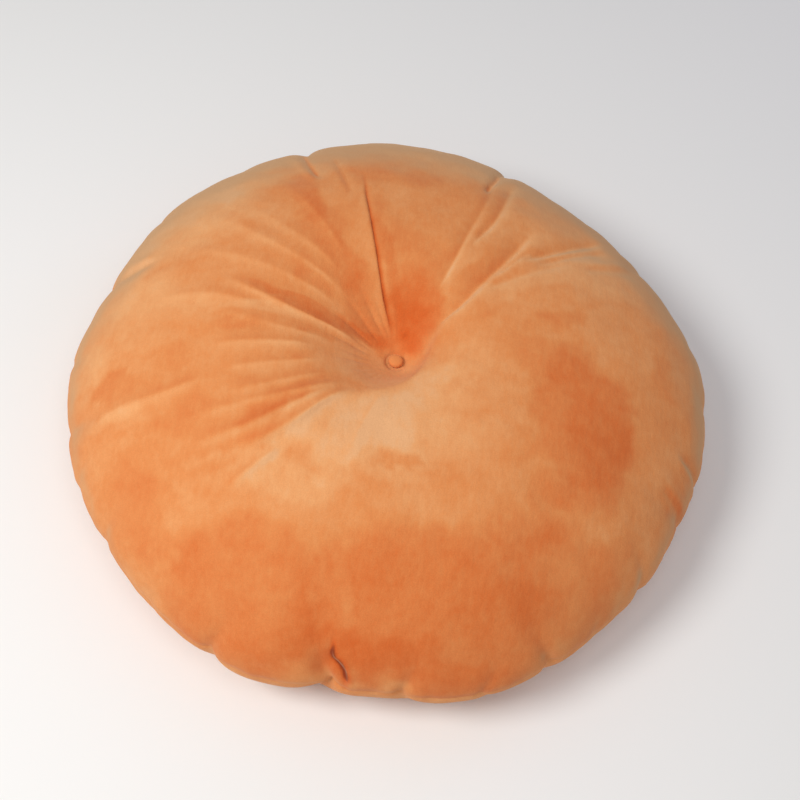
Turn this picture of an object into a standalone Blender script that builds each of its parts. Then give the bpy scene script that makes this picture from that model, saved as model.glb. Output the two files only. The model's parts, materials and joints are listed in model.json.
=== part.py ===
# Round velvet cushion, drawn in at its middle by a small covered button on each side.
# Metres, +Z up. The cushion lies on its back, as on a floor, and the origin is on that surface
# under the middle of its outline. Angles run anticlockwise from +X, seen from above, in degrees.

import math
from collections import namedtuple

import bmesh
import bpy
from mathutils import Matrix, Vector

# Whole cushion
RIM_RADIUS = 0.2240
SEAM_HEIGHT = 0.0520
CROWN_HEIGHT = 0.1360
CROWN_FLATNESS = 2.5
CROWN_ROUNDNESS = 0.60
CONTACT_RADIUS = 0.1400
UNDERSIDE_FULLNESS = 2.3

# Seam round the rim, where the two round panels are sewn together
SEAM_GROOVE_DEPTH = 0.0022
SEAM_GROOVE_HALF_WIDTH = 0.0060

# Hollow that the tufting twine pulls into the top: a wide shallow bowl, and inside its lip a steep
# wall down to the button. The lip is nearer the button on one side than on the other.
BOWL_DEPTH = 0.0120
BOWL_REACH = 0.0800
WALL_DEPTH = 0.0310
WALL_SHARE_OF_LIP = 0.76
WALL_CRISPNESS = 2.0
LIP_RADIUS = 0.0460
LIP_SKEW = 0.0180
LIP_SKEW_ANGLE = 160.0
PINCH_DEPTH = 0.0060
PINCH_REACH = 0.0070

# Shallower hollow in the back
BACK_DENT_DEPTH = 0.0200
BACK_DENT_RADIUS = 0.0440

# Covered buttons, and the flat seat of cloth under each
BUTTON_RADIUS = 0.0063
BUTTON_HEIGHT = 0.0046
BUTTON_EDGE_HEIGHT = 0.0012
BUTTON_BASE_RADIUS = 0.0048
SEAT_RADIUS = 0.0068
PIECE_GAP = 0.0003

# Fineness of the mesh
SECTORS = 144
DENT_RINGS = 7
CROWN_RINGS = 13
SEAM_RINGS = 2
UNDERSIDE_RINGS = 4
BACK_DENT_RINGS = 3
BUTTON_SECTORS = 24
BUTTON_RINGS = 5

# Uneven outline: each row is a wave round the rim.
Lobe = namedtuple("Lobe", "waves height phase")
LOBES = [
    Lobe(waves=1, height=0.0016, phase=-168),
    Lobe(waves=3, height=0.0024, phase=6),
    Lobe(waves=4, height=0.0017, phase=-68),
    Lobe(waves=5, height=0.0014, phase=-68),
    Lobe(waves=6, height=0.0012, phase=-50),
]

# Gathers of the seam: how far the rim is drawn in, half its width along the rim, and how far up
# the top panel it runs. The underside has the same gathers, shorter.
Gather = namedtuple("Gather", "angle depth half_width reach")
GATHERS = [
    Gather(angle=3, depth=0.0014, half_width=0.009, reach=0.026),
    Gather(angle=34, depth=0.0030, half_width=0.010, reach=0.045),
    Gather(angle=52, depth=0.0016, half_width=0.009, reach=0.030),
    Gather(angle=71, depth=0.0052, half_width=0.010, reach=0.060),
    Gather(angle=92, depth=0.0014, half_width=0.009, reach=0.026),
    Gather(angle=115, depth=0.0062, half_width=0.010, reach=0.055),
    Gather(angle=131, depth=0.0016, half_width=0.009, reach=0.030),
    Gather(angle=150, depth=0.0024, half_width=0.010, reach=0.040),
    Gather(angle=168, depth=0.0040, half_width=0.012, reach=0.040),
    Gather(angle=198, depth=0.0024, half_width=0.010, reach=0.050),
    Gather(angle=220, depth=0.0030, half_width=0.010, reach=0.030),
    Gather(angle=246, depth=0.0032, half_width=0.010, reach=0.030),
    Gather(angle=267, depth=0.0058, half_width=0.013, reach=0.034),
    Gather(angle=278, depth=0.0026, half_width=0.009, reach=0.024),
    Gather(angle=291, depth=0.0024, half_width=0.008, reach=0.024),
    Gather(angle=304, depth=0.0040, half_width=0.009, reach=0.026),
    Gather(angle=323, depth=0.0032, half_width=0.010, reach=0.030),
    Gather(angle=340, depth=0.0028, half_width=0.008, reach=0.034),
    Gather(angle=348, depth=0.0026, half_width=0.008, reach=0.034),
]
UNDERSIDE_GATHER_SHARE = 0.8

# Folds of the top panel, each from an inner to an outer end. A negative depth is a ridge.
# The columns of each row are those named here, in this order.
Fold = namedtuple("Fold", "inner_radius inner_angle outer_radius outer_angle depth half_width")
FOLDS = [
    # the far side of the button: one deep crease, and the small one beside it
    Fold(0.010, 108, 0.160, 106, 0.0080, 0.0060),
    Fold(0.030, 125, 0.165, 112, -0.0030, 0.0110),
    Fold(0.120, 112, 0.160, 111, 0.0020, 0.0050),
    # towards +X and away: three creases with ridges between them
    Fold(0.050, 65, 0.200, 72, 0.0045, 0.0065),
    Fold(0.055, 60, 0.150, 67, -0.0030, 0.0060),
    Fold(0.100, 64, 0.185, 68, 0.0035, 0.0055),
    Fold(0.022, 47, 0.145, 53, 0.0065, 0.0070),
    Fold(0.026, 32, 0.135, 49, -0.0040, 0.0070),
    Fold(0.060, 37, 0.185, 39, 0.0035, 0.0060),
    Fold(0.120, 44, 0.205, 44, 0.0030, 0.0060),
    # towards -X and away: the fan of long soft folds
    Fold(0.018, 178, 0.130, 165, 0.0055, 0.0070),
    Fold(0.045, 187, 0.155, 164, -0.0030, 0.0070),
    Fold(0.045, 155, 0.165, 153, -0.0025, 0.0080),
    Fold(0.070, 142, 0.205, 145, 0.0030, 0.0080),
    Fold(0.050, 197, 0.145, 185, 0.0030, 0.0070),
    Fold(0.060, 202, 0.140, 198, 0.0022, 0.0065),
    Fold(0.165, 200, 0.210, 197, 0.0035, 0.0080),
    # towards -X and near: long folds that sweep down from the hollow's lip
    Fold(0.045, 229, 0.175, 215, 0.0035, 0.0065),
    Fold(0.050, 237, 0.160, 220, -0.0025, 0.0060),
    Fold(0.070, 235, 0.155, 222, 0.0035, 0.0060),
    Fold(0.060, 243, 0.150, 228, -0.0030, 0.0060),
    Fold(0.112, 233, 0.152, 232, 0.0035, 0.0050),
    # near side: one low ridge, and the deep tuck above the rim
    Fold(0.050, 264, 0.130, 255, -0.0025, 0.0100),
    Fold(0.178, 262, 0.226, 268, 0.0050, 0.0090),
]
FOLD_FADE = 0.25


def smooth_step(value):
    """Rises from 0 to 1 with no corner at either end."""
    share = min(1.0, max(0.0, value))
    return share * share * (3 - 2 * share)


def bump(distance, half_width):
    return math.exp(-((distance / half_width) ** 2))


def angle_between(first, second):
    """Smallest turn from one angle to another, in degrees."""
    return (first - second + 180) % 360 - 180


def crown_height(radius):
    """Height of the filled top panel before the twine pulls it down."""
    share = min(1.0, radius / RIM_RADIUS)
    fullness = (1 - share**CROWN_FLATNESS) ** CROWN_ROUNDNESS
    return SEAM_HEIGHT + (CROWN_HEIGHT - SEAM_HEIGHT) * fullness


def dent_at(radius, angle):
    """Depth of the hollow in the top panel."""
    skew = LIP_SKEW * math.cos(math.radians(angle - LIP_SKEW_ANGLE))
    radius = max(radius, SEAT_RADIUS)
    away_from_seat = smooth_step(2 * (radius - SEAT_RADIUS) / LIP_RADIUS)
    wall_reach = WALL_SHARE_OF_LIP * (LIP_RADIUS + skew * away_from_seat)
    bowl = BOWL_DEPTH * bump(radius, BOWL_REACH)
    wall = WALL_DEPTH * math.exp(-((radius / wall_reach) ** WALL_CRISPNESS))
    return bowl + wall + PINCH_DEPTH * math.exp(-radius / PINCH_REACH)


def underside_height(radius):
    """Height of the back panel: flat where it rests, rising to the seam, with the hollow at its middle."""
    if radius < BACK_DENT_RADIUS:
        share = max(radius, SEAT_RADIUS) / BACK_DENT_RADIUS
        return BACK_DENT_DEPTH * (1 - share) ** 1.6 * (1 + 1.6 * share)
    share = max(0.0, (radius - CONTACT_RADIUS) / (RIM_RADIUS - CONTACT_RADIUS))
    return SEAM_HEIGHT * (1 - math.sqrt(max(0.0, 1 - share**UNDERSIDE_FULLNESS)))


def spread(start, end, count, ease=1.0):
    """Values from just after start up to end, closer together near start where ease is over 1."""
    return [start + (end - start) * ((step + 1) / count) ** ease for step in range(count)]


def cushion_profile():
    """Points of the turned cushion as (radius, height), from the top's middle to the back's middle."""
    dent_end = LIP_RADIUS + LIP_SKEW
    top = [0.0, SEAT_RADIUS]
    top += spread(SEAT_RADIUS, dent_end, DENT_RINGS, 1.3)
    from_seam = spread(0.0, RIM_RADIUS - dent_end, CROWN_RINGS, 1.75)
    top += [RIM_RADIUS - step for step in reversed(from_seam[:-1])]
    points = [(radius, crown_height(radius)) for radius in top]
    points.append((RIM_RADIUS, SEAM_HEIGHT))
    rise = spread(0.0, RIM_RADIUS - CONTACT_RADIUS, UNDERSIDE_RINGS + SEAM_RINGS, 2.0)
    points += [(RIM_RADIUS - step, underside_height(RIM_RADIUS - step)) for step in rise]
    flat = [0.5 * (CONTACT_RADIUS + BACK_DENT_RADIUS)]
    inwards = spread(SEAT_RADIUS, BACK_DENT_RADIUS, BACK_DENT_RINGS)
    hollow = [BACK_DENT_RADIUS + SEAT_RADIUS - radius for radius in inwards]
    back = flat + [BACK_DENT_RADIUS] + hollow + [0.0]
    points += [(radius, underside_height(radius)) for radius in back]
    return points


def turned_mesh(name, points, sectors):
    """Spins a profile round +Z into one closed body."""
    shape = bmesh.new()
    corners = [shape.verts.new((radius, 0.0, height)) for radius, height in points]
    edges = [shape.edges.new(pair) for pair in zip(corners, corners[1:])]
    bmesh.ops.spin(
        shape,
        geom=corners + edges,
        cent=(0, 0, 0),
        axis=(0, 0, 1),
        angle=math.tau,
        steps=sectors,
        use_merge=True,
    )
    bmesh.ops.remove_doubles(shape, verts=shape.verts, dist=1e-6)
    bmesh.ops.recalc_face_normals(shape, faces=shape.faces)
    mesh = bpy.data.meshes.new(name)
    shape.to_mesh(mesh)
    shape.free()
    return mesh


def fold_at(point, fold):
    """Depth of one fold at a point seen from above."""
    ends = []
    for radius, angle in (
        (fold.inner_radius, fold.inner_angle),
        (fold.outer_radius, fold.outer_angle),
    ):
        turn = math.radians(angle)
        ends.append(Vector((radius * math.cos(turn), radius * math.sin(turn))))
    run = ends[1] - ends[0]
    offset = point - ends[0]
    along = offset.dot(run) / run.length_squared
    if not 0 < along < 1:
        return 0.0
    across = (offset - run * along).length
    fade = smooth_step(along / FOLD_FADE) * smooth_step((1 - along) / FOLD_FADE)
    return fold.depth * fade * bump(across, fold.half_width)


def gather_at(angle, from_seam, is_top):
    """How far the gathers draw a point of the rim towards the middle."""
    total = 0.0
    for gather in GATHERS:
        across = RIM_RADIUS * math.radians(angle_between(angle, gather.angle))
        reach = gather.reach * (1.0 if is_top else UNDERSIDE_GATHER_SHARE)
        total += gather.depth * bump(across, gather.half_width) * bump(from_seam, reach)
    return total


def lobe_at(angle):
    return sum(
        lobe.height * math.cos(math.radians(lobe.waves * angle + lobe.phase)) for lobe in LOBES
    )


def moved_point(vert):
    """Where a point of the turned cushion goes once the panels are folded, gathered and tufted."""
    place = vert.co.copy()
    radius = math.hypot(place.x, place.y)
    if radius < SEAT_RADIUS * 0.5:
        sunk = dent_at(0.0, 0.0) if place.z > SEAM_HEIGHT else 0.0
        return place - Vector((0, 0, sunk))
    angle = math.degrees(math.atan2(place.y, place.x))
    outward = Vector((place.x, place.y, 0)) / radius
    is_top = place.z >= SEAM_HEIGHT - 1e-6
    from_seam = math.hypot(RIM_RADIUS - radius, place.z - SEAM_HEIGHT)
    share = radius / RIM_RADIUS
    place += outward * lobe_at(angle) * share**3
    place -= outward * gather_at(angle, from_seam, is_top)
    place -= outward * SEAM_GROOVE_DEPTH * bump(from_seam, SEAM_GROOVE_HALF_WIDTH)
    if is_top:
        seen_from_above = Vector((vert.co.x, vert.co.y))
        place -= vert.normal * sum(fold_at(seen_from_above, fold) for fold in FOLDS)
        place.z -= dent_at(radius, angle)
    place.z = max(0.0, place.z)
    return place


def cushion_mesh(name):
    """The filled cushion: one closed body with its crown, hollows, folds and gathered seam."""
    mesh = turned_mesh(name, cushion_profile(), SECTORS)
    shape = bmesh.new()
    shape.from_mesh(mesh)
    shape.normal_update()
    moved = [(vert, moved_point(vert)) for vert in shape.verts]
    for vert, place in moved:
        vert.co = place
    bmesh.ops.triangulate(shape, faces=shape.faces)
    shape.to_mesh(mesh)
    shape.free()
    return mesh


def button_mesh(name):
    """A low dome over a disc, with the cloth turned in under its edge."""
    rise = BUTTON_HEIGHT - BUTTON_EDGE_HEIGHT
    points = [(0.0, BUTTON_HEIGHT)]
    for turn in spread(0.0, math.pi / 2, BUTTON_RINGS):
        points.append((BUTTON_RADIUS * math.sin(turn), BUTTON_EDGE_HEIGHT + rise * math.cos(turn)))
    points += [(BUTTON_BASE_RADIUS, 0.0), (0.0, 0.0)]
    return turned_mesh(name, points, BUTTON_SECTORS)


def velvet(name, colour, roughness):
    material = bpy.data.materials.new(name)
    material.use_nodes = True
    shader = material.node_tree.nodes["Principled BSDF"]
    shader.inputs["Base Color"].default_value = (*colour, 1.0)
    shader.inputs["Roughness"].default_value = roughness
    shader.inputs["Metallic"].default_value = 0.0
    shader.inputs["Sheen Weight"].default_value = 0.6
    return material


def add_piece(name, mesh, material, collection, location=(0, 0, 0)):
    piece = bpy.data.objects.new(name, mesh)
    piece.location = location
    mesh.materials.append(material)
    mesh.shade_smooth()
    collection.objects.link(piece)
    return piece


def clear_scene():
    for old in list(bpy.data.objects):
        bpy.data.objects.remove(old, do_unlink=True)


def main():
    clear_scene()
    collection = bpy.data.collections.new("velvet_cushion")
    bpy.context.scene.collection.children.link(collection)
    panel_velvet = velvet("panel_velvet", (0.78, 0.31, 0.10), 0.9)
    button_velvet = velvet("button_velvet", (0.74, 0.28, 0.09), 0.9)

    body = cushion_mesh("cushion_body")
    xs = [vert.co.x for vert in body.vertices]
    ys = [vert.co.y for vert in body.vertices]
    to_middle = Vector((-(min(xs) + max(xs)) / 2, -(min(ys) + max(ys)) / 2, 0))
    body.transform(Matrix.Translation(to_middle))
    add_piece("cushion_body", body, panel_velvet, collection)

    top_seat = CROWN_HEIGHT - dent_at(0.0, 0.0)
    above = to_middle + Vector((0, 0, top_seat + PIECE_GAP))
    add_piece("top_button", button_mesh("top_button"), button_velvet, collection, above)

    below = to_middle + Vector((0, 0, underside_height(0.0) - PIECE_GAP))
    back = button_mesh("back_button")
    back.transform(Matrix.Rotation(math.pi, 4, "X"))
    add_piece("back_button", back, button_velvet, collection, below)


main()
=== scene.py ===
import json
import math
import random

import bmesh
import bpy
import numpy as np
from mathutils import Matrix, Vector, noise

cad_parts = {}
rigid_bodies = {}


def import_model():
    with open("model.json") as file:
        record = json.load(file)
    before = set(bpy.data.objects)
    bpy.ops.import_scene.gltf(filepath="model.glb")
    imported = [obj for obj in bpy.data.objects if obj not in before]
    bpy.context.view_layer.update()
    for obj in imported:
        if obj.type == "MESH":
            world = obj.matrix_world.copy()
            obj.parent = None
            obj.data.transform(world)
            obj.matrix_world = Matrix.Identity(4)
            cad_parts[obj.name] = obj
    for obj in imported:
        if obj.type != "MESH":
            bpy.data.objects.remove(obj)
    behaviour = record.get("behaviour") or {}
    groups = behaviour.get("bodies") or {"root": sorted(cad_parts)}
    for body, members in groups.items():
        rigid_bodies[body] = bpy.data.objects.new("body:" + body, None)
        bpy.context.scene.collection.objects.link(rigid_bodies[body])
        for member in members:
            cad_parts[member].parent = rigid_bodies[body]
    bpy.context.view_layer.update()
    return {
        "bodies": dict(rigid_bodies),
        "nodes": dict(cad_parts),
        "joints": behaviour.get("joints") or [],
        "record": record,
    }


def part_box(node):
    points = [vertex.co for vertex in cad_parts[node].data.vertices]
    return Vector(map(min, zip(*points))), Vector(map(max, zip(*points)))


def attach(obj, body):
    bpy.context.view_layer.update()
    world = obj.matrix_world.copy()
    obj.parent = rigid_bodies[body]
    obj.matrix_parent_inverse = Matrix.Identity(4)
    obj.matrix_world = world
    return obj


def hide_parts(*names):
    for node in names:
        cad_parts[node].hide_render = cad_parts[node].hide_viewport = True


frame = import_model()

scene = bpy.context.scene
mm = 0.001

# The cushion is turned about the line through its two buttons
topLow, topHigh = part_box("top_button")
backLow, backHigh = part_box("back_button")
middle = Vector(((topLow[0] + topHigh[0]) / 2, (topLow[1] + topHigh[1]) / 2, 0))


# Helpers that work on whole arrays

def ease(share):
    share = np.clip(share, 0, 1)
    return share * share * (3 - 2 * share)


def hump(distance, halfWidth):
    return np.exp(-((distance / halfWidth) ** 2))


def pinch(distance, halfWidth):        # sharp at its bottom, soft at its shoulders
    return np.exp(0.3 - np.sqrt((distance / halfWidth) ** 2 + 0.09))


def turnBetween(first, second):        # smallest turn from one angle to another, in degrees
    return (first - second + 180) % 360 - 180


def readPoints(mesh):
    points = np.zeros(len(mesh.vertices) * 3, np.float32)
    mesh.vertices.foreach_get("co", points)
    return points.reshape(-1, 3).astype(float)


def writePoints(mesh, points):
    mesh.vertices.foreach_set("co", np.asarray(points, np.float32).ravel())
    mesh.update()


def readNormals(mesh):
    normals = np.zeros(len(mesh.vertices) * 3, np.float32)
    mesh.vertex_normals.foreach_get("vector", normals)
    return normals.reshape(-1, 3).astype(float)


def keepAttribute(mesh, name, values):
    kind = "FLOAT_VECTOR" if values.ndim == 2 else "FLOAT"
    layer = mesh.attributes.get(name) or mesh.attributes.new(name, kind, "POINT")
    field = "vector" if values.ndim == 2 else "value"
    layer.data.foreach_set(field, np.asarray(values, np.float32).ravel())


def readAttribute(mesh, name):
    layer = mesh.attributes[name]
    wide = 3 if layer.data_type == "FLOAT_VECTOR" else 1
    values = np.zeros(len(mesh.vertices) * wide, np.float32)
    layer.data.foreach_get("vector" if wide == 3 else "value", values)
    return values.reshape(-1, wide).astype(float) if wide == 3 else values.astype(float)


def lumps(points, size, seed):         # soft noise of about -1 to 1, with lumps of that size
    offset = Vector((seed * 7.3, seed * 3.1, seed * 5.7))
    return np.array([noise.noise(Vector(point) / size + offset) for point in points])


# Cushion body

cushion = {
    "rimRadius": 224 * mm,
    "seamHeight": 52 * mm,
    "crownHeight": 136 * mm,
    "crownFlatness": 2.5,
    "crownRoundness": 0.60,
    "contactRadius": 140 * mm,
    "undersideFullness": 2.3,
    "seatRadius": 6.8 * mm,
    "bowlDepth": 12 * mm,              # the wide shallow part of the hollow
    "bowlReach": 80 * mm,
    "wallDepth": 31 * mm,              # its steep wall, inside a lip
    "wallShareOfLip": 0.76,
    "lipRadius": 46 * mm,
    "lipSkew": 18 * mm,
    "lipSkewAngle": 160,
    "pinchDepth": 6 * mm,
    "pinchReach": 7 * mm,
    "nestHeight": 1.9 * mm,            # the cloth swells up close round the button
    "nestNear": 1.3 * mm,
    "nestFar": 7 * mm,
    "backDepth": 20 * mm,              # the hollow round the back button
    "backRadius": 44 * mm,
    "sectors": 280,
    "seamStep": 1.2 * mm,              # ring spacing at the seam, and how it grows away from it
    "seamGrowth": 0.16,
    "hollowStep": 1.6 * mm,
    "hollowGrowth": 0.10,
    "topStep": 7.5 * mm,
    "underStep": 16 * mm,
    "grooveDepth": 0.9 * mm,           # where the two panels are sewn
    "grooveHalfWidth": 2.8 * mm,
}

# Waves round the rim: how many, how high in mm, and their phase
rimWaves = [(1, 1.6, -168), (3, 2.4, 6), (4, 1.7, -68), (5, 1.4, -68), (6, 1.2, -50), (7, 0.9, 76)]

# Where the filling bulges between the deeper gathers: angle, height in mm and half width in degrees
swellings = [(14, 2.4, 8), (98, 2.6, 8), (148, 2.6, 9), (184, 2.0, 8), (206, 1.2, 7), (254, 4.4, 6.5),
             (291, 3.8, 10), (327, 4.2, 10), (283, 1.0, 5)]

# Gathers at the seam: angle, depth mm, half width mm, reach up the panel mm, lean in degrees
gathers = [
    (3, 1.4, 6, 26, 2), (18, 1.2, 5, 22, -2), (34, 4.2, 6, 45, 2), (41, 2.6, 5, 30, 0), (52, 1.6, 6, 30, -1),
    (71, 7.0, 6, 60, 1), (92, 1.4, 6, 26, 0), (103, 1.2, 5, 24, 2), (115, 7.8, 6, 55, 1),
    (131, 1.6, 6, 30, -2), (150, 2.2, 7, 40, -3), (168, 6.0, 8, 40, -2), (184, 1.4, 5, 26, 2),
    (198, 2.6, 7, 50, 3), (209, 1.4, 5, 24, -2), (220, 3.6, 7, 32, -2), (233, 1.2, 5, 24, 3),
    (246, 6.4, 6, 32, 2), (256, 1.2, 5, 20, -2), (267, 9.0, 6, 30, -3), (265, 4.0, 12, 60, -2), (278, 5.4, 5, 24, 2),
    (291, 2.8, 5, 24, 3), (304, 6.2, 5, 30, -2), (313, 1.4, 5, 20, 2), (325, 4.2, 6, 32, 2),
    (340, 3.6, 5, 36, -2), (348, 3.2, 5, 34, 2),
]

# Folds of the top panel. Each path is a list of x and y in mm from the button, from the hollow outwards.
# crest is the height of a sharp ridge, cleft the depth of a sharp fold and depth that of a soft one, and ledge is
# how far the left side stands above the right. wide is the half width on its left and right, left and right are
# swellings beside it, and groove is a thin line, all in mm.
folds = [
    # away from the viewer: the one sharp crease, and short folds beside it
    dict(path=[(-3, 12), (-8, 25), (-14.5, 41), (-21, 61), (-27, 81), (-32.5, 101), (-37, 119), (-40, 134), (-43, 150)],
         ledge=1.3, wide=(8, 2), groove=1.5),
    dict(path=[(-48, 118), (-53, 132), (-60, 150), (-68, 170)], depth=0.5, wide=(3, 3), left=0.2, groove=0.2),
    dict(path=[(-72, 134), (-80, 150), (-87, 168), (-93, 188)], depth=0.9, wide=(4, 4), left=0.5, groove=0.5),
    # to the right and away: clefts with a long slope on their left and a steep one on their right
    dict(path=[(22, 44), (26, 56), (31, 70), (36, 86), (41, 104), (43, 118)], cleft=1.7, wide=(5, 1.8)),
    dict(path=[(40, 82), (49, 98), (57, 113), (62, 128), (66, 144), (70, 162), (73, 178)], cleft=2.5, wide=(6, 2.2)),
    dict(path=[(40, 96), (46, 120), (52, 144), (57, 168)], cleft=1.0, wide=(4, 3)),
    dict(path=[(49, 146), (53, 160), (57, 172), (61, 190)], depth=1.3, wide=(3, 2.4), groove=0.5),
    dict(path=[(22, 15), (29, 23), (38, 33), (46, 44), (53, 55), (60, 66), (68, 78), (76, 92), (84, 107), (92, 120)],
         cleft=3.6, wide=(8, 2.2)),
    dict(path=[(58, 60), (68, 71), (78, 83), (88, 94)], cleft=1.5, wide=(4, 2)),
    dict(path=[(78, 80), (94, 91), (110, 103), (126, 116), (146, 133)], cleft=2.9, wide=(6, 2.4)),
    dict(path=[(88, 78), (108, 92), (128, 106), (150, 121)], cleft=1.8, wide=(5, 4)),
    dict(path=[(52, 46), (66, 56), (82, 67), (100, 79), (122, 92)], cleft=1.3, wide=(6, 4)),
    dict(path=[(124, 86), (142, 94), (160, 104), (172, 114)], depth=0.6, wide=(4, 4), left=0.4),
    # to the left and away: the fan of long folds, ridges with their long slope on the far side
    dict(path=[(-26, 3), (-42, 5), (-60, 7.5), (-76, 11), (-91, 16), (-106, 22), (-124, 32)],
         crest=1.9, wide=(2.4, 5)),
    dict(path=[(-46, -5), (-66, -6), (-86, -5), (-104, -2), (-124, 3)], crest=0.8, wide=(3, 6)),
    dict(path=[(-56, -14), (-78, -18), (-102, -22), (-126, -27)], crest=1.3, wide=(3, 6)),
    dict(path=[(-48, -24), (-70, -32), (-92, -38), (-118, -45)], crest=1.0, wide=(3, 6)),
    dict(path=[(-42, -34), (-62, -44), (-86, -54), (-112, -63)], crest=1.1, wide=(3, 6)),
    dict(path=[(-38, 20), (-60, 30), (-90, 41), (-124, 52), (-162, 61)], crest=0.9, wide=(4, 8)),
    dict(path=[(-34, 29), (-56, 43), (-82, 57), (-110, 72), (-148, 97)], crest=1.0, wide=(4, 8)),
    dict(path=[(-40, 44), (-62, 61), (-88, 79), (-122, 103)], crest=0.7, wide=(4, 7)),
    dict(path=[(-44, 60), (-58, 80), (-74, 101), (-92, 124)], crest=0.9, wide=(4, 7)),
    dict(path=[(-94, 8), (-120, 14), (-148, 16), (-174, 14)], crest=0.9, wide=(4, 6)),
    dict(path=[(-122, -50), (-142, -60), (-160, -66), (-178, -70), (-196, -76)], crest=1.6, wide=(3, 6)),
    dict(path=[(-178, 54), (-191, 51), (-210, 48)], depth=0.9, wide=(5, 5), right=0.4),
    # to the left and near: long folds that sweep down from the hollow's lip
    dict(path=[(-28, -38), (-50, -50), (-72, -60), (-100, -70), (-132, -81)], crest=1.7, wide=(3, 7)),
    dict(path=[(-38, -46), (-54, -60), (-70, -72), (-88, -84), (-106, -92), (-126, -100)], crest=2.0, wide=(2.4, 6)),
    dict(path=[(-22, -46), (-34, -53), (-44, -62), (-55, -74), (-67, -85), (-80, -94), (-94, -101)],
         crest=3.2, wide=(3, 8)),
    dict(path=[(-64, -97), (-74, -105), (-84, -115), (-94, -125)], crest=2.2, wide=(3, 4)),
    # near side: the edge of a low swelling, and the tuck above the rim
    dict(path=[(-1, -42), (-9, -54), (-15, -70), (-19, -88), (-25, -104)], crest=0.8, wide=(8, 3)),
    dict(path=[(-13.6, -199), (-15.4, -208), (-14.6, -213.5), (-10.2, -216), (-6.6, -218.5), (-5, -222), (-5.4, -227)],
         depth=2.2, wide=(2.2, 4.5), left=1.0, groove=1.4, fadeIn=0.62),
    # the near lip of the hollow
    dict(path=[(34, 30), (26, 8), (20, -14), (11, -31), (-4, -41), (-24, -49), (-42, -60)], crest=2.0, wide=(6, 4)),
    dict(path=[(190, -66), (200, -71), (212, -76)], depth=0.8, wide=(3, 3), left=0.4, groove=0.2),
    dict(path=[(200, -38), (210, -41), (222, -44)], depth=0.8, wide=(3, 3), right=0.4, groove=0.2),
]
foldDetail = {
    "pathSteps": 6, "fadeIn": 0.20, "fadeOut": 0.28, "shoulder": 1.8, "grooveHalfWidth": 1.2 * mm,
    "shadeForSlope": 1.6, "mostSlopeShade": 0.85,  # painted fold shading, partly the lean of the pile: slopes that face anticlockwise are paler, the others deeper
    "shadeForGroove": 0.5,              # painted crease shade: the tone goes deeper for each mm of a groove's depth
    "fineFrom": (0.3, 2.0),            # grooves deeper than this get finer cloth, then finer again
    "fineReach": 4.5 * mm,
}


def crownAt(radius):
    share = np.minimum(radius / cushion["rimRadius"], 1)
    fullness = (1 - share ** cushion["crownFlatness"]) ** cushion["crownRoundness"]
    return cushion["seamHeight"] + (cushion["crownHeight"] - cushion["seamHeight"]) * fullness


def hollowAt(radius, angle):
    seat = cushion["seatRadius"]
    radius = np.maximum(radius, seat)
    skew = cushion["lipSkew"] * np.cos(np.radians(angle - cushion["lipSkewAngle"]))
    awayFromSeat = ease(2 * (radius - seat) / cushion["lipRadius"])
    wallReach = cushion["wallShareOfLip"] * (cushion["lipRadius"] + skew * awayFromSeat)
    bowl = cushion["bowlDepth"] * hump(radius, cushion["bowlReach"])
    wall = cushion["wallDepth"] * hump(radius, wallReach)
    away = radius - seat
    nest = cushion["nestHeight"] * (1 - np.exp(-away / cushion["nestNear"])) * np.exp(-away / cushion["nestFar"])
    return bowl + wall + cushion["pinchDepth"] * np.exp(-radius / cushion["pinchReach"]) - nest


def undersideAt(radius):
    rim, flat, hollow = cushion["rimRadius"], cushion["contactRadius"], cushion["backRadius"]
    rise = np.clip((radius - flat) / (rim - flat), 0, 1)
    sweep = cushion["seamHeight"] * (1 - np.sqrt(1 - rise ** cushion["undersideFullness"]))
    share = np.clip(np.maximum(radius, cushion["seatRadius"]) / hollow, 0, 1)
    return sweep + cushion["backDepth"] * (1 - share) ** 1.6 * (1 + 1.6 * share)


def ringsAlong(heightAt, farStep, farGrowth, widest):
    # radii from the seam to the seat, close together at both ends
    fine = cushion["rimRadius"] - (cushion["rimRadius"] - cushion["seatRadius"]) * np.linspace(0, 1, 4000) ** 2
    height = heightAt(fine)
    travel = np.concatenate([[0], np.cumsum(np.hypot(np.diff(fine), np.diff(height)))])
    stops = [0.0]
    while stops[-1] < travel[-1]:
        fromSeam = cushion["seamStep"] + cushion["seamGrowth"] * stops[-1]
        fromSeat = farStep + farGrowth * (travel[-1] - stops[-1])
        stops.append(stops[-1] + min(fromSeam, fromSeat, widest))
    stops = np.array(stops) * travel[-1] / stops[-1]
    radius = np.interp(stops, travel, fine)
    return radius, heightAt(radius)


def turnedPanels():
    plainTop = lambda radius: crownAt(radius) - hollowAt(radius, cushion["lipSkewAngle"] + 90)
    radius, height = ringsAlong(plainTop, cushion["hollowStep"], cushion["hollowGrowth"], cushion["topStep"])
    top = [(0.0, crownAt(0.0))] + [(r, crownAt(r)) for r in reversed(radius)]
    radius, height = ringsAlong(undersideAt, cushion["hollowStep"], 0.2, cushion["underStep"])
    under = list(zip(radius, height))[1:] + [(0.0, undersideAt(0.0))]
    shape = bmesh.new()
    corners = [shape.verts.new((r, 0.0, z)) for r, z in top + under]
    edges = [shape.edges.new(pair) for pair in zip(corners, corners[1:])]
    bmesh.ops.spin(shape, geom=corners + edges, cent=(0, 0, 0), axis=(0, 0, 1),
                   angle=math.tau, steps=cushion["sectors"], use_merge=True)
    bmesh.ops.remove_doubles(shape, verts=shape.verts, dist=1e-6)
    bmesh.ops.recalc_face_normals(shape, faces=shape.faces)
    mesh = bpy.data.meshes.new("cushion")
    shape.to_mesh(mesh)
    shape.free()
    mesh.shade_smooth()
    return mesh


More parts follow.
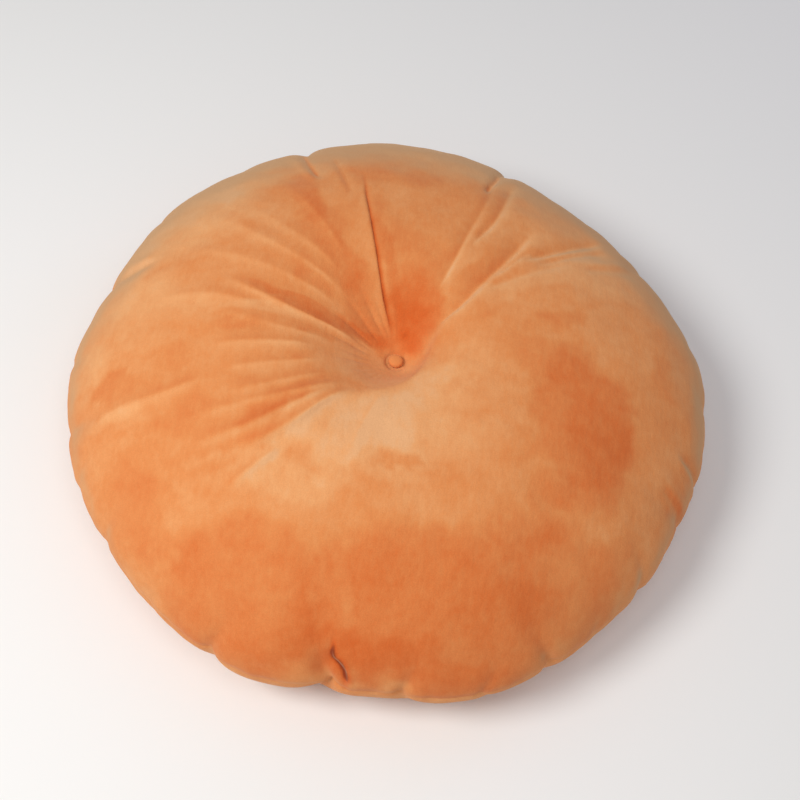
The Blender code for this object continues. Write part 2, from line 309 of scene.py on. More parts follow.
def polarOf(pattern):
    radius = np.hypot(pattern[:, 0], pattern[:, 1])
    angle = np.degrees(np.arctan2(pattern[:, 1], pattern[:, 0]))
    outward = pattern[:, :2] / np.maximum(radius, 1e-9)[:, None]
    fromSeam = np.hypot(cushion["rimRadius"] - radius, pattern[:, 2] - cushion["seamHeight"])
    isTop = pattern[:, 2] >= cushion["seamHeight"] - 1e-6
    return radius, angle, outward, fromSeam, isTop


def fillPanels(mesh):                  # from a turned shape to an uneven one with its hollow
    pattern = readAttribute(mesh, "pattern")
    radius, angle, outward, fromSeam, isTop = polarOf(pattern)
    points = pattern.copy()
    waves = sum(high * mm * np.cos(np.radians(count * angle + phase)) for count, high, phase in rimWaves)
    waves += sum(high * mm * hump(turnBetween(angle, at), wide) for at, high, wide in swellings)
    points[:, :2] += outward * (waves * (radius / cushion["rimRadius"]) ** 3)[:, None]
    points[:, 2] -= np.where(isTop, hollowAt(radius, angle), 0)
    writePoints(mesh, points)


filling = {
    "frames": 20,
    "pressure": 4.0,
    "tension": 12.0,
    "bending": 0.3,
    "startInside": 2.0 * mm,           # the trial starts a little slack and swells
    "softening": 3,
    "farthestMove": 3.5 * mm,
    "seamHold": 3.0 * mm,
    "seatHold": 14 * mm,
}


def letFillingPush(mesh):              # cloth simulation: how far the filling moves every point
    radius, angle, outward, fromSeam, isTop = polarOf(readAttribute(mesh, "pattern"))
    filled = readPoints(mesh)
    flatUnder = ~isTop & (filled[:, 2] < 1 * mm)
    held = np.maximum(hump(fromSeam, filling["seamHold"]), hump(radius, filling["seatHold"]))
    held = np.where(flatUnder, 1, np.where(held < 0.05, 0, held))
    trial = bpy.data.objects.new("filling_trial", mesh.copy())
    scene.collection.objects.link(trial)
    slack = filling["startInside"] * (1 - held)
    writePoints(trial.data, filled - readNormals(mesh) * slack[:, None])
    group = trial.vertex_groups.new(name="held")
    for weight in np.unique(held.round(2)):
        group.add([int(index) for index in np.flatnonzero(held.round(2) == weight)], float(weight), "REPLACE")
    cloth = trial.modifiers.new("cloth", "CLOTH").settings
    cloth.vertex_group_mass = "held"
    cloth.effector_weights.gravity = 0
    cloth.use_pressure = True
    cloth.uniform_pressure_force = filling["pressure"]
    cloth.tension_stiffness = cloth.compression_stiffness = filling["tension"]
    cloth.bending_stiffness = filling["bending"]
    for frame in range(1, filling["frames"] + 1):
        scene.frame_set(frame)
    settled = trial.evaluated_get(bpy.context.evaluated_depsgraph_get()).to_mesh()
    move = readPoints(settled) - filled
    bpy.data.objects.remove(trial)
    scene.frame_set(1)
    # the even part of the swelling is taken out, so the cushion keeps its height and width
    ring = np.unique(np.round(radius + 2 * isTop, 5), return_inverse=True)[1]
    across = np.sum(move * readNormals(mesh), axis=1)
    even = np.bincount(ring, across) / np.bincount(ring)
    move -= readNormals(mesh) * even[ring][:, None]
    ends = np.array([edge.vertices[:] for edge in mesh.edges])
    neighbours = np.bincount(ends.ravel())[:, None]
    for _ in range(filling["softening"]):
        around = np.zeros_like(move)
        np.add.at(around, ends[:, 0], move[ends[:, 1]])
        np.add.at(around, ends[:, 1], move[ends[:, 0]])
        move = (move + around / neighbours) / 2
    length = np.linalg.norm(move, axis=1)
    move *= (np.minimum(length, filling["farthestMove"]) / np.maximum(length, 1e-9))[:, None]
    print("filling: moved", round(float(length.mean()) * 1000, 2), "mm on average,", round(float(length.max()) * 1000, 2), "most")
    return move


def gatherSeam(mesh, gatherRows, underShare=0.8):
    pattern = readAttribute(mesh, "pattern")
    radius, angle, outward, fromSeam, isTop = polarOf(pattern)
    pull = np.zeros(len(pattern))
    for at, depth, halfWidth, reach, lean in gatherRows:
        far = reach * mm * np.where(isTop, 1, underShare)
        near = fromSeam < 2.4 * far
        share = fromSeam[near] / far[near]
        across = cushion["rimRadius"] * np.radians(turnBetween(angle[near], at + lean * share))
        wide = halfWidth * mm * (0.7 + 0.9 * share)
        pull[near] += depth * mm * hump(share, 0.8) * (pinch(across, wide) - 0.35 * hump(across, 3 * wide))
    points = readPoints(mesh) - readNormals(mesh) * pull[:, None]
    writePoints(mesh, points)


def smoothPath(corners, steps):        # a Catmull-Rom curve through corners in mm
    spots = [Vector(corner) * mm for corner in corners]
    ends = [2 * spots[0] - spots[1]] + spots + [2 * spots[-1] - spots[-2]]
    run = []
    for before, start, end, after in zip(ends, ends[1:], ends[2:], ends[3:]):
        for step in range(steps):
            t = step / steps
            run.append(0.5 * (2 * start + (end - before) * t + (2 * before - 5 * start + 4 * end - after) * t * t
                              + (3 * start - before - 3 * end + after) * t ** 3))
    return np.array([spot[:] for spot in run + [spots[-1]]])


def besidePath(flat, path):            # signed distance (left is positive) and share along the path
    best = np.full(len(flat), 1e9)
    side, along = np.zeros(len(flat)), np.zeros(len(flat))
    lengths = np.linalg.norm(np.diff(path, axis=0), axis=1)
    travelled = np.concatenate([[0], np.cumsum(lengths)])
    for index, length in enumerate(lengths):
        run = (path[index + 1] - path[index]) / length
        offset = flat - path[index]
        raw = offset @ run
        reach = np.clip(raw, 0, length)
        away = np.linalg.norm(offset - reach[:, None] * run, axis=1)
        closer = away < best
        best[closer] = away[closer]
        side[closer] = (run[0] * offset[:, 1] - run[1] * offset[:, 0])[closer]
        along[closer] = ((travelled[index] + raw) / travelled[-1])[closer]
    return side, along


def foldHeights(flat, row, grooves):   # how far one fold lifts each point
    path = smoothPath(row["path"], foldDetail["pathSteps"])
    lifted = np.zeros(len(flat))
    room = 5 * mm * max(row["wide"])
    near = np.all((flat > path.min(0) - room) & (flat < path.max(0) + room), axis=1)
    side, along = besidePath(flat[near], path)
    fade = ease(along / row.get("fadeIn", foldDetail["fadeIn"])) * ease((1 - along) / foldDetail["fadeOut"])
    wide = np.where(side > 0, *row["wide"]) * mm * (0.7 + 0.5 * np.clip(along, 0, 1))
    if grooves:
        height = -row.get("groove", 0) * pinch(side, foldDetail["grooveHalfWidth"])
    else:
        shoulder = foldDetail["shoulder"] * wide
        height = (row.get("crest", 0) - row.get("cleft", 0)) * pinch(side, wide)
        height -= row.get("depth", 0) * hump(side, wide)
        step = (1 + np.tanh(side / foldDetail["grooveHalfWidth"])) / 2
        height += row.get("ledge", 0) * step * np.exp(-np.maximum(side, 0) / wide)
        height += row.get("left", 0) * hump(side - shoulder, wide)
        height += row.get("right", 0) * hump(side + shoulder, wide)
    lifted[near] = height * fade * mm
    return lifted


def nearGrooves(mesh, deeperThan):
    pattern = readAttribute(mesh, "pattern")
    chosen = np.zeros(len(pattern), bool)
    for row in folds:
        if row.get("groove", 0) > deeperThan:
            side, along = besidePath(pattern[:, :2], smoothPath(row["path"], foldDetail["pathSteps"]))
            chosen |= (np.abs(side) < foldDetail["fineReach"]) & (along > -0.02) & (along < 1.02)
    return chosen & polarOf(pattern)[4]


def pressFolds(mesh, grooves=False):
    pattern = readAttribute(mesh, "pattern")
    isTop = polarOf(pattern)[4]
    lifted = sum(foldHeights(pattern[:, :2], row, grooves) for row in folds) * isTop
    writePoints(mesh, readPoints(mesh) + readNormals(mesh) * lifted[:, None])
    return lifted


def sewSeam(mesh):
    radius, angle, outward, fromSeam, isTop = polarOf(readAttribute(mesh, "pattern"))
    pull = cushion["grooveDepth"] * hump(fromSeam, cushion["grooveHalfWidth"])
    writePoints(mesh, readPoints(mesh) - readNormals(mesh) * pull[:, None])


def loosenCloth(mesh):                 # the soft unevenness of filling and plush
    pattern = readAttribute(mesh, "pattern")
    radius, angle, outward, fromSeam, isTop = polarOf(pattern)
    points = readPoints(mesh)
    lift = 1.1 * mm * lumps(points, 46 * mm, 3) + 0.45 * mm * lumps(points, 17 * mm, 5)
    lift += 0.14 * mm * lumps(points, 6 * mm, 9)
    lift *= ease((radius - 12 * mm) / (30 * mm)) * np.where(isTop, 1, ease(pattern[:, 2] / (12 * mm)))
    writePoints(mesh, points + readNormals(mesh) * lift[:, None])


def smallGathers(count, seed):         # the little puckers between the main gathers
    draw = random.Random(seed)
    rows = []
    for index in range(count):
        at = 360 * (index + draw.uniform(-0.35, 0.35)) / count
        rows.append((at, draw.uniform(0.3, 1.0), draw.uniform(3, 4.5), draw.uniform(9, 20), draw.uniform(-2, 2)))
    return rows


def buttonPleats(mesh):                # the cloth gathered in round each button
    radius, angle, outward, fromSeam, isTop = polarOf(readAttribute(mesh, "pattern"))
    seat = cushion["seatRadius"]
    fade = ease((radius - seat) / (4 * mm)) * hump(radius - seat, 9 * mm)
    turn = np.radians(angle)
    waves = np.cos(11 * turn + 0.6) + 0.7 * np.cos(17 * turn + 2.1) + 0.5 * np.cos(7 * turn + 4.0)
    writePoints(mesh, readPoints(mesh) + readNormals(mesh) * (0.03 * mm * waves * fade)[:, None])


def refine(mesh, chosen=None):         # four faces for each one, everywhere or at the chosen points
    shape = bmesh.new()
    shape.from_mesh(mesh)
    shape.verts.ensure_lookup_table()
    edges = [edge for edge in shape.edges if chosen is None or all(chosen[vert.index] for vert in edge.verts)]
    bmesh.ops.subdivide_edges(shape, edges=edges, cuts=1, use_grid_fill=True)
    shape.to_mesh(mesh)
    shape.free()
    mesh.shade_smooth()
    pattern = readAttribute(mesh, "pattern")   # new points go back onto the turned shape
    radius, angle, outward, fromSeam, isTop = polarOf(pattern)
    pattern[:, 2] = np.where(isTop, crownAt(radius), undersideAt(radius))
    keepAttribute(mesh, "pattern", pattern)


def restOnFloor(mesh):
    points = readPoints(mesh)
    points[:, 2] = np.maximum(points[:, 2], 0)
    writePoints(mesh, points)


# Where the pile is brushed. Each mark: middle x and y in mm from the button, half length, half width,
# turn in degrees, tone, from deep (negative, pile towards the viewer) to pale, and edge, from soft (1) up.
# a few marks stand in for light and shade: some dark bands along folds and in the tuck are painted shade, the crisp
# patch inside the near lip is painted shading, and the pale marks round the far rim are partly painted sheen
brushMarks = [
    # the patch to the right, with its sharp outer edge
    (126, -42, 36, 54, 8, -0.42, 6), (140, -48, 21, 42, 4, -0.58, 3), (104, -2, 28, 14, -6, -0.35, 3),
    (106, -30, 20, 30, 10, -0.25, 2), (134, -96, 22, 16, 30, -0.35, 2), (112, -96, 24, 12, 0, -0.45, 3),
    # the far wall of the hollow, and both sides of the crease
    (9, 30, 18, 30, 10, -0.65, 3), (8, 20, 16, 20, 0, -0.45, 3), (2, 58, 20, 36, 12, -0.35, 2), (-10, 12, 24, 9, -10, -0.40, 2),
    # (-30, 12) here and (-74, 18) below deepen the band along the first long fold to the left: painted shade
    (-28, 36, 12, 24, 28, -0.55, 2), (-30, 12, 20, 6, -12, -0.55, 3), (-48, 58, 12, 24, 36, -0.45, 3),
    (-74, 18, 30, 5, -14, -0.45, 3), (-76, 58, 20, 7, -32, -0.25, 2), (-78, 116, 12, 32, 18, -0.55, 4), (-122, 128, 30, 14, 35, 0.50, 2), (50, 168, 36, 12, 0, 0.45, 3),
    (-70, 92, 18, 30, 30, -0.20, 2), (-17, 74, 50, 6, 107, -0.45, 2), (-20, 148, 40, 16, 0, -0.35, 3), (-54, -24, 16, 14, 20, -0.25, 3), (-58, 1, 18, 6, 0, -0.40, 3),
    (-150, 88, 24, 12, -24, 0.30, 2), (-104, 56, 40, 6, -16, -0.15, 2),
    # the near side, below a ragged edge with one pale gap in it
    (40, -178, 84, 46, 6, -0.70, 6), (-70, -182, 52, 44, -8, -0.60, 6), (124, -148, 36, 34, 36, -0.52, 4), (158, -126, 16, 20, -36, -0.30, 3),
    (96, -126, 26, 14, 20, -0.45, 3),
    (-140, -138, 44, 22, -40, -0.35, 4), (10, -96, 19, 6, 3, -0.75, 4), (44, -210, 90, 14, 0, -0.40, 4),
    (88, -72, 18, 16, 0, -0.30, 2), (52, -60, 34, 24, -10, 0.30, 2), (66, -52, 24, 5, -12, -0.15, 2),
    # to the left
    (-182, -52, 20, 8, -12, -0.45, 4), (-124, -80, 26, 15, 6, -0.25, 3), (-196, -28, 12, 16, 0, 0.50, 2),
    (-108, -12, 20, 6, -4, -0.35, 2), (-150, -36, 10, 16, 0, -0.15, 3), (-70, -60, 40, 6, 40, -0.35, 2),
    (-98, -92, 34, 5, 22, -0.30, 2), (-174, 14, 30, 26, 0, 0.50, 2),
    # to the right
    (180, 12, 9, 16, 0, -0.45, 3), (52, 26, 9, 16, 0, -0.20, 3), (108, 32, 20, 10, 20, -0.40, 3),
    (204, -70, 9, 12, 0, -0.45, 3), (150, 60, 30, 6, 30, -0.15, 2),
    # pale: in front of the hollow, round the rim, where it is partly painted sheen, and between the folds
    (-6, -74, 52, 34, 0, 0.62, 4), (-24, -78, 13, 34, -22, 0.42, 4), (4, -68, 15, 26, 0, 0.42, 4), (24, -34, 12, 22, -35, 0.50, 3),
    (-66, -112, 40, 13, -16, 0.45, 3), (-62, -92, 18, 7, 38, 0.55, 3), (-26, -112, 14, 8, 0, 0.45, 3), (-26, -180, 8, 22, 0, 0.50, 3),
    (-170, 116, 60, 22, 50, 0.70, 2), (-128, 162, 30, 16, 34, 0.50, 3), (-160, 80, 40, 26, 30, 0.45, 2), (-196, 54, 20, 38, 0, 0.55, 2), (-206, -44, 10, 20, 0, 0.25, 2),
    (-182, -75, 15, 5, 14, 0.35, 3), (-160, -84, 16, 5, 20, -0.30, 3), (-102, -108, 14, 5, 34, -0.35, 3), (-160, -20, 20, 8, 8, 0.20, 2), (-124, -134, 12, 14, 0, 0.40, 3),
    (124, 96, 64, 40, -42, 0.40, 2), (76, 56, 44, 10, 38, 0.40, 2),
    (36, 66, 5, 30, -18, 0.35, 2), (60, -20, 30, 18, 0, 0.25, 2), (44, -12, 18, 34, -14, 0.12, 4), (-60, 40, 20, 7, -35, -0.35, 3), (-78, -70, 20, 6, 38, -0.30, 3),
    # (-9, -217) darkens the tuck above the near rim: painted shade in the overlap
    (0, 200, 130, 22, 0, 0.80, 3), (-110, 172, 34, 18, 24, 0.50, 3), (-150, 130, 22, 14, 40, 0.35, 2), (-12, -176, 7, 28, 4, 0.30, 3), (-9, -217, 9, 6, -38, -0.60, 2), (-12, 8, 8, 6, 0, -0.5, 2), (-70, 10, 22, 4, -6, -0.3, 2),
    (-90, 4, 44, 4, -4, 0.40, 2), (-122, 104, 40, 14, -32, 0.40, 2), (-60, -34, 40, 8, 22, 0.20, 2),
    # inside the lip on the near side: a crisp-edged patch of painted shading that marks the edge of the hollow's near
    # wall
    (-8, -14, 34, 29, -8, 0.22, 6),
]
brushing = {"wander": 9 * mm, "wanderSize": 30 * mm, "fray": 4.5 * mm, "fraySize": 9 * mm}


# the pile's brushed tone, with painted shading of the folds and creases, and where the painted rim sheen goes
def brushPileAndShading(mesh, slopes, grooveLift):
    pattern = readAttribute(mesh, "pattern")
    radius, angle, outward, fromSeam, isTop = polarOf(pattern)
    wander = [lumps(pattern, brushing["wanderSize"], seed) * brushing["wander"] for seed in (31, 32)]
    fray = [lumps(pattern, brushing["fraySize"], seed) * brushing["fray"] for seed in (33, 34)]
    spots = (pattern[:, :2] + np.stack(wander, axis=1) + np.stack(fray, axis=1)) / mm
    tone = np.zeros(len(pattern))
    for x, y, long, wide, turn, strength, edge in brushMarks:
        offset = spots - (x, y)
        cosine, sine = math.cos(math.radians(turn)), math.sin(math.radians(turn))
        lengthways = (offset[:, 0] * cosine + offset[:, 1] * sine) / long
        across = (offset[:, 1] * cosine - offset[:, 0] * sine) / wide
        tone += strength * np.exp(-((lengthways ** 2 + across ** 2) ** edge))
    # painted fold shading: one slope of each fold paler, the other deeper
    most = foldDetail["mostSlopeShade"]
    tone += np.clip(foldDetail["shadeForSlope"] * slopes, -most, most)
    # painted crease shade: deeper tone along each groove
    tone += foldDetail["shadeForGroove"] * grooveLift / mm
    under = 0.7 * lumps(pattern, 90 * mm, 21)
    # where the painted sheen greys the pile: round the rim, not in its grooves
    rimSheenShare = ease((radius - 120 * mm) / (50 * mm)) * ease((fromSeam - 3 * mm) / (15 * mm))
    rimSheenShare *= ease(1 + grooveLift / (0.4 * mm))
    keepAttribute(mesh, "rimSheenShare", np.where(isTop, rimSheenShare, 0))
    keepAttribute(mesh, "pileToneAndShading", np.where(isTop, tone, under * ease(fromSeam / (50 * mm))))


def makeCushion():
    mesh = turnedPanels()
    keepAttribute(mesh, "pattern", readPoints(mesh))
    fillPanels(mesh)
    gatherSeam(mesh, gathers)
    keepAttribute(mesh, "push", letFillingPush(mesh))
    refine(mesh)
    for deeperThan in foldDetail["fineFrom"]:
        refine(mesh, nearGrooves(mesh, deeperThan))
    fillPanels(mesh)
    gatherSeam(mesh, gathers)
    writePoints(mesh, readPoints(mesh) + readAttribute(mesh, "push"))
    unfolded = readNormals(mesh)
    pressFolds(mesh)
    tilt = readNormals(mesh) - unfolded
    grooveLift = pressFolds(mesh, grooves=True)
    outward = polarOf(readAttribute(mesh, "pattern"))[2]
    # how the folds tilt each point sideways, for their painted shading
    slopes = tilt[:, 1] * outward[:, 0] - tilt[:, 0] * outward[:, 1]
    gatherSeam(mesh, smallGathers(64, 4))
    buttonPleats(mesh)
    loosenCloth(mesh)
    sewSeam(mesh)
    brushPileAndShading(mesh, slopes, grooveLift)
    points = readPoints(mesh)
    writePoints(mesh, points + np.array(middle))
    restOnFloor(mesh)
    piece = bpy.data.objects.new("filled_cushion", mesh)
    scene.collection.objects.link(piece)
    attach(piece, "root")
    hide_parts("cushion_body")
    print("cushion:", len(mesh.vertices), "points")
    return piece


# Covered buttons

button = {
    "radius": 5.0 * mm, "height": 4.4 * mm, "edgeHeight": 1.4 * mm, "baseRadius": 4.2 * mm,
    "sectors": 72, "rings": 14, "pleats": 13, "pleatDepth": 0.10 * mm, "flatness": 2.6,
}


def makeButton(name, node, place, upsideDown):
    rise = button["height"] - button["edgeHeight"]
    outline = [(0.0, button["height"])]
    for step in range(1, button["rings"] + 1):
        share = step / button["rings"]
        radius = button["radius"] * math.sin(share * math.pi / 2)
        lift = (1 - (radius / button["radius"]) ** button["flatness"]) ** (1 / button["flatness"])
        outline.append((radius, button["edgeHeight"] + rise * lift))
    outline += [(button["radius"] * 0.985, 0.7 * mm), (button["radius"] * 0.93, 0.3 * mm)]
    outline += [(button["baseRadius"], 0.0), (0.0, 0.0)]
    shape = bmesh.new()
    corners = [shape.verts.new((r, 0.0, z)) for r, z in outline]
    edges = [shape.edges.new(pair) for pair in zip(corners, corners[1:])]
    bmesh.ops.spin(shape, geom=corners + edges, cent=(0, 0, 0), axis=(0, 0, 1),
                   angle=math.tau, steps=button["sectors"], use_merge=True)
    bmesh.ops.remove_doubles(shape, verts=shape.verts, dist=1e-6)
    for vert in shape.verts:           # pleats where the cloth turns under the edge
        radius, angle = math.hypot(vert.co.x, vert.co.y), math.atan2(vert.co.y, vert.co.x)
        low = 1 - min(1, vert.co.z / (0.6 * button["height"]))
        wave = math.cos(button["pleats"] * angle) + 0.5 * math.cos((button["pleats"] + 4) * angle + 1)
        if radius > 0:
            vert.co.xy *= 1 + button["pleatDepth"] * wave * low * min(1, radius / button["baseRadius"]) / radius
    if upsideDown:
        bmesh.ops.rotate(shape, verts=shape.verts, matrix=Matrix.Rotation(math.pi, 3, "X"))
    bmesh.ops.translate(shape, verts=shape.verts, vec=place)
    bmesh.ops.recalc_face_normals(shape, faces=shape.faces)
    mesh = bpy.data.meshes.new(name)
    shape.to_mesh(mesh)
    shape.free()
    mesh.shade_smooth()
    keepAttribute(mesh, "pileToneAndShading", np.full(len(mesh.vertices), -0.15))
    piece = bpy.data.objects.new(name, mesh)
    scene.collection.objects.link(piece)
    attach(piece, "root")
    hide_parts(node)
    return piece


# Materials

velvet = {
    "creaseShade": (0.26, 0.035, 0.006),   # painted shade deep inside a crease, partly the pile pressed flat there
    "deepest": (0.60, 0.115, 0.020),
    "deep": (0.64, 0.160, 0.038),
    "middle": (0.70, 0.250, 0.078),
    "pale": (0.76, 0.350, 0.140),
    "palest": (0.76, 0.400, 0.190),
    "sheenTint": (1.0, 0.74, 0.50),
    "paintedRimSheen": (0.57, 0.32, 0.155),  # painted sheen: greyer where the pile near the rim is seen from the side
    "turnsFrom": 0.42, "turnsTo": 0.78, "turnsMost": 0.85,
}


def join(tree, *pairs):
    for source, target in pairs:
        tree.links.new(source, target)


def addNode(tree, kind, **values):
    node = tree.nodes.new("ShaderNode" + kind)
    for key, value in values.items():
        setattr(node, key, value)
    return node


def addMath(tree, operation, first, second):
    node = addNode(tree, "Math", operation=operation)
    for socket, value in zip(node.inputs, (first, second)):
        if isinstance(value, (int, float)):
            socket.default_value = value
        else:
            tree.links.new(value, socket)
    return node.outputs[0]


def addNoise(tree, vector, scale, detail, roughness=0.5):
    node = addNode(tree, "TexNoise")
    tree.links.new(vector, node.inputs["Vector"])
    node.inputs["Detail"].default_value = detail
    node.inputs["Roughness"].default_value = roughness
    if isinstance(scale, (int, float)):
        node.inputs["Scale"].default_value = scale
    else:
        tree.links.new(scale, node.inputs["Scale"])
    return node.outputs["Fac"]


def newGroup(name, inputs, outputs):
    group = bpy.data.node_groups.new(name, "ShaderNodeTree")
    for label, kind, value in inputs:
        socket = group.interface.new_socket(name=label, in_out="INPUT", socket_type="NodeSocket" + kind)
        if value is not None:
            socket.default_value = value
    for label, kind in outputs:
        group.interface.new_socket(name=label, in_out="OUTPUT", socket_type="NodeSocket" + kind)
    return group, group.nodes.new("NodeGroupInput").outputs, group.nodes.new("NodeGroupOutput").inputs


def makePileAndShading():                 # the cloudy patches that a hand leaves in velvet, with the painted shading that the tone carries
    group, given, made = newGroup(
        "brushedPileAndShading",
        [("Position", "Vector", None), ("Tone", "Float", 0.0), ("Cloud Strength", "Float", 0.5),
         ("Mottle Strength", "Float", 0.5), ("Streak Strength", "Float", 0.3), ("Speckle Strength", "Float", 0.1)],
        [("Color", "Color"), ("Tone", "Float")])
    turned = addNode(group, "Mapping")
    turned.inputs["Rotation"].default_value = (0, 0, math.radians(12))
    turned.inputs["Scale"].default_value = (1.0, 0.3, 0.6)
    join(group, (given["Position"], turned.inputs["Vector"]))
    clouds = addMath(group, "SUBTRACT", addNoise(group, given["Position"], 26, 4, 0.6), 0.5)
    mottle = addMath(group, "SUBTRACT", addNoise(group, given["Position"], 120, 4, 0.6), 0.5)
    streak = addMath(group, "SUBTRACT", addNoise(group, turned.outputs["Vector"], 330, 3, 0.6), 0.5)
    tone = addMath(group, "ADD", given["Tone"], addMath(group, "MULTIPLY", clouds, given["Cloud Strength"]))
    tone = addMath(group, "ADD", tone, addMath(group, "MULTIPLY", mottle, given["Mottle Strength"]))
    tone = addMath(group, "ADD", tone, addMath(group, "MULTIPLY", streak, given["Streak Strength"]))
    spread = addNode(group, "MapRange")
    spread.inputs["From Min"].default_value = -2.1
    spread.inputs["From Max"].default_value = 1.1
    ramp = addNode(group, "ValToRGB")
    stops = ramp.color_ramp.elements
    # the lowest stop is the painted crease shade
    stops[0].position, stops[0].color = 0.0, (*velvet["creaseShade"], 1)
    stops[1].position, stops[1].color = 1.0, (*velvet["palest"], 1)
    for position, name in ((0.19, "deepest"), (0.35, "deep"), (0.61, "middle"), (0.855, "pale")):
        stop = stops.new(position)
        stop.color = (*velvet[name], 1)
    speckle = addMath(group, "SUBTRACT", addNoise(group, given["Position"], 1500, 2), 0.5)
    bright = addMath(group, "ADD", 1.0, addMath(group, "MULTIPLY", speckle, given["Speckle Strength"]))
    shade = addNode(group, "HueSaturation")
    join(group, (tone, spread.inputs["Value"]), (spread.outputs["Result"], ramp.inputs["Fac"]),
         (ramp.outputs["Color"], shade.inputs["Color"]), (bright, shade.inputs["Value"]),
         (shade.outputs["Color"], made["Color"]), (tone, made["Tone"]))
    return group


def makePileRelief():                  # the short upright fibres, in clumps
    group, given, made = newGroup(
        "pileRelief",
        [("Position", "Vector", None), ("Fibre Size", "Float", 900.0), ("Clump Size", "Float", 300.0)],
        [("Height", "Float")])
    combed = addNode(group, "Mapping")
    combed.inputs["Rotation"].default_value = (0, 0, math.radians(12))
    combed.inputs["Scale"].default_value = (1.0, 0.4, 0.7)
    join(group, (given["Position"], combed.inputs["Vector"]))
    fibres = addNoise(group, given["Position"], given["Fibre Size"], 2, 0.6)
    clumps = addNoise(group, combed.outputs["Vector"], given["Clump Size"], 3, 0.55)
    height = addMath(group, "ADD", addMath(group, "MULTIPLY", fibres, 0.45), addMath(group, "MULTIPLY", clumps, 0.9))
    join(group, (height, made["Height"]))
    return group


def makeVelvet(name, brushedPileAndShading, pileRelief, look):
    material = bpy.data.materials.new(name)
    material.use_nodes = True
    tree = material.node_tree
    shader = tree.nodes["Principled BSDF"]
    place = addNode(tree, "TexCoord")
    tone = addNode(tree, "Attribute", attribute_name="pileToneAndShading")
    patches = addNode(tree, "Group", node_tree=brushedPileAndShading)
    relief = addNode(tree, "Group", node_tree=pileRelief)
    bump = addNode(tree, "Bump")
    for label in ("Cloud Strength", "Mottle Strength", "Streak Strength", "Speckle Strength"):
        patches.inputs[label].default_value = look[label]
    bump.inputs["Strength"].default_value = look["Bump Strength"]
    bump.inputs["Distance"].default_value = look["Bump Distance"]
    # painted sheen: near the rim the pile colour turns greyer where the surface is seen from the side
    seenFrom = addNode(tree, "LayerWeight")
    rim = addNode(tree, "Attribute", attribute_name="rimSheenShare")
    aside = addNode(tree, "MapRange", interpolation_type="SMOOTHSTEP")
    for label, value in (("From Min", "turnsFrom"), ("From Max", "turnsTo"), ("To Max", "turnsMost")):
        aside.inputs[label].default_value = velvet[value]
    turned = addNode(tree, "Mix", data_type="RGBA")
    factor, pileColour, sheenColour = (turned.inputs[index] for index in (0, 6, 7))
    sheenColour.default_value = (*velvet["paintedRimSheen"], 1)
    join(tree, (seenFrom.outputs["Facing"], aside.inputs["Value"]), 
         (addMath(tree, "MULTIPLY", aside.outputs["Result"], rim.outputs["Fac"]), factor),
         (patches.outputs["Color"], pileColour), (turned.outputs[2], shader.inputs["Base Color"]))
    join(tree, (place.outputs["Object"], patches.inputs["Position"]),
         (place.outputs["Object"], relief.inputs["Position"]),
         (tone.outputs["Fac"], patches.inputs["Tone"]),
         (relief.outputs["Height"], bump.inputs["Height"]),
         (bump.outputs["Normal"], shader.inputs["Normal"]))
    shader.inputs["Roughness"].default_value = 0.95
    shader.inputs["Specular IOR Level"].default_value = 0.2
    shader.inputs["Sheen Weight"].default_value = look["Sheen"]
    shader.inputs["Sheen Roughness"].default_value = 0.5
    shader.inputs["Sheen Tint"].default_value = (*velvet["sheenTint"], 1)
    return material


# Camera, light and floor

camera = {
    "place": (0.0, -0.4766, 0.8135),   # from the line through the buttons
    "pan": 0.83, "tilt": -58.21, "roll": 8.63,
    "focalPixels": 1252.2, "imagePixels": 800, "sensorWidth": 36,
}
lights = [
    # name, place, size m, watts, colour
    ("leftSoftbox", (-0.78, -0.50, 1.22), 0.6, 13.2, (1.0, 0.98, 0.95)),
    ("frontFill", (0.10, -0.60, 1.50), 0.8, 4.8, (1.0, 0.99, 0.97)),
    ("coolEdge", (1.1, 0.9, 0.6), 0.5, 1.3, (0.66, 0.60, 1.0)),
]
surroundings = {"floorSize": 12, "floorColor": (0.86, 0.86, 0.86), "skyColor": (1.0, 1.0, 1.0), "skyStrength": 0.35}


def makeCamera():
    data = bpy.data.cameras.new("camera")
    data.sensor_width = camera["sensorWidth"]
    data.lens = camera["focalPixels"] * camera["sensorWidth"] / camera["imagePixels"]
    holder = bpy.data.objects.new("camera", data)
    scene.collection.objects.link(holder)
    pan, tilt, roll = (math.radians(camera[key]) for key in ("pan", "tilt", "roll"))
    forward = Vector((math.sin(pan) * math.cos(tilt), math.cos(pan) * math.cos(tilt), math.sin(tilt)))
    level = forward.cross(Vector((0, 0, 1))).normalized()
    above = level.cross(forward)
    right = level * math.cos(roll) + above * math.sin(roll)
    up = above * math.cos(roll) - level * math.sin(roll)
    turn = Matrix((right, up, -forward)).transposed()
    holder.matrix_world = Matrix.Translation(Vector(camera["place"]) + middle) @ turn.to_4x4()
    scene.camera = holder


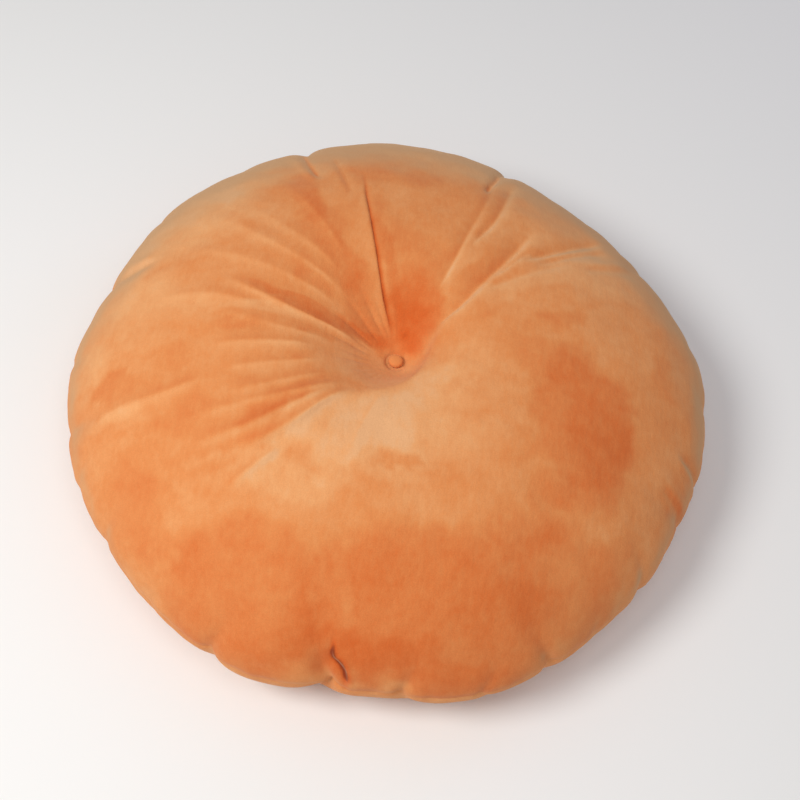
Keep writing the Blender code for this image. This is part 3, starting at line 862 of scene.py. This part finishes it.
def makeLights():
    for name, place, size, watts, colour in lights:
        data = bpy.data.lights.new(name, "AREA")
        data.shape = "DISK"
        data.size, data.energy, data.color = size, watts, colour
        holder = bpy.data.objects.new(name, data)
        holder.location = place
        holder.rotation_euler = (Vector((0, 0, 0.06)) - Vector(place)).to_track_quat("-Z", "Y").to_euler()
        scene.collection.objects.link(holder)
    world = bpy.data.worlds.new("studio")
    scene.world = world
    world.use_nodes = True
    sky = world.node_tree.nodes["Background"]
    sky.inputs["Color"].default_value = (*surroundings["skyColor"], 1)
    sky.inputs["Strength"].default_value = surroundings["skyStrength"]
    scene.view_settings.view_transform = "Standard"


def makeFloor():
    shape = bmesh.new()
    bmesh.ops.create_grid(shape, x_segments=1, y_segments=1, size=surroundings["floorSize"] / 2)
    mesh = bpy.data.meshes.new("floor")
    shape.to_mesh(mesh)
    shape.free()
    floor = bpy.data.objects.new("floor", mesh)
    floor.location.z = -0.1 * mm       # not in the plane of the cushion's underside
    scene.collection.objects.link(floor)
    material = bpy.data.materials.new("pale_floor")
    material.use_nodes = True
    shader = material.node_tree.nodes["Principled BSDF"]
    shader.inputs["Base Color"].default_value = (*surroundings["floorColor"], 1)
    shader.inputs["Roughness"].default_value = 0.9
    mesh.materials.append(material)


makeCamera()
makeLights()
makeFloor()
print("camera, lights and floor are in place")

panelLook = {"Cloud Strength": 1.3, "Mottle Strength": 0.7, "Streak Strength": 0.55, "Speckle Strength": 0.30,
             "Bump Strength": 0.6, "Bump Distance": 0.6 * mm, "Sheen": 0.22}
buttonLook = {"Cloud Strength": 0.6, "Mottle Strength": 0.5, "Streak Strength": 0.4, "Speckle Strength": 0.20,
              "Bump Strength": 0.4, "Bump Distance": 0.3 * mm, "Sheen": 0.22}
brushedPileAndShading, pileRelief = makePileAndShading(), makePileRelief()

filledCushion = makeCushion()
filledCushion.data.materials.append(makeVelvet("panel_velvet_pile", brushedPileAndShading, pileRelief, panelLook))
topPlace = Vector((middle.x, middle.y, topLow[2]))
backPlace = Vector((middle.x, middle.y, backHigh[2]))
topButton = makeButton("covered_button_top", "top_button", topPlace, upsideDown=False)
backButton = makeButton("covered_button_back", "back_button", backPlace, upsideDown=True)
buttonVelvet = makeVelvet("button_velvet_pile", brushedPileAndShading, pileRelief, buttonLook)
for covered in (topButton, backButton):
    covered.data.materials.append(buttonVelvet)
print("velvet and buttons are finished")
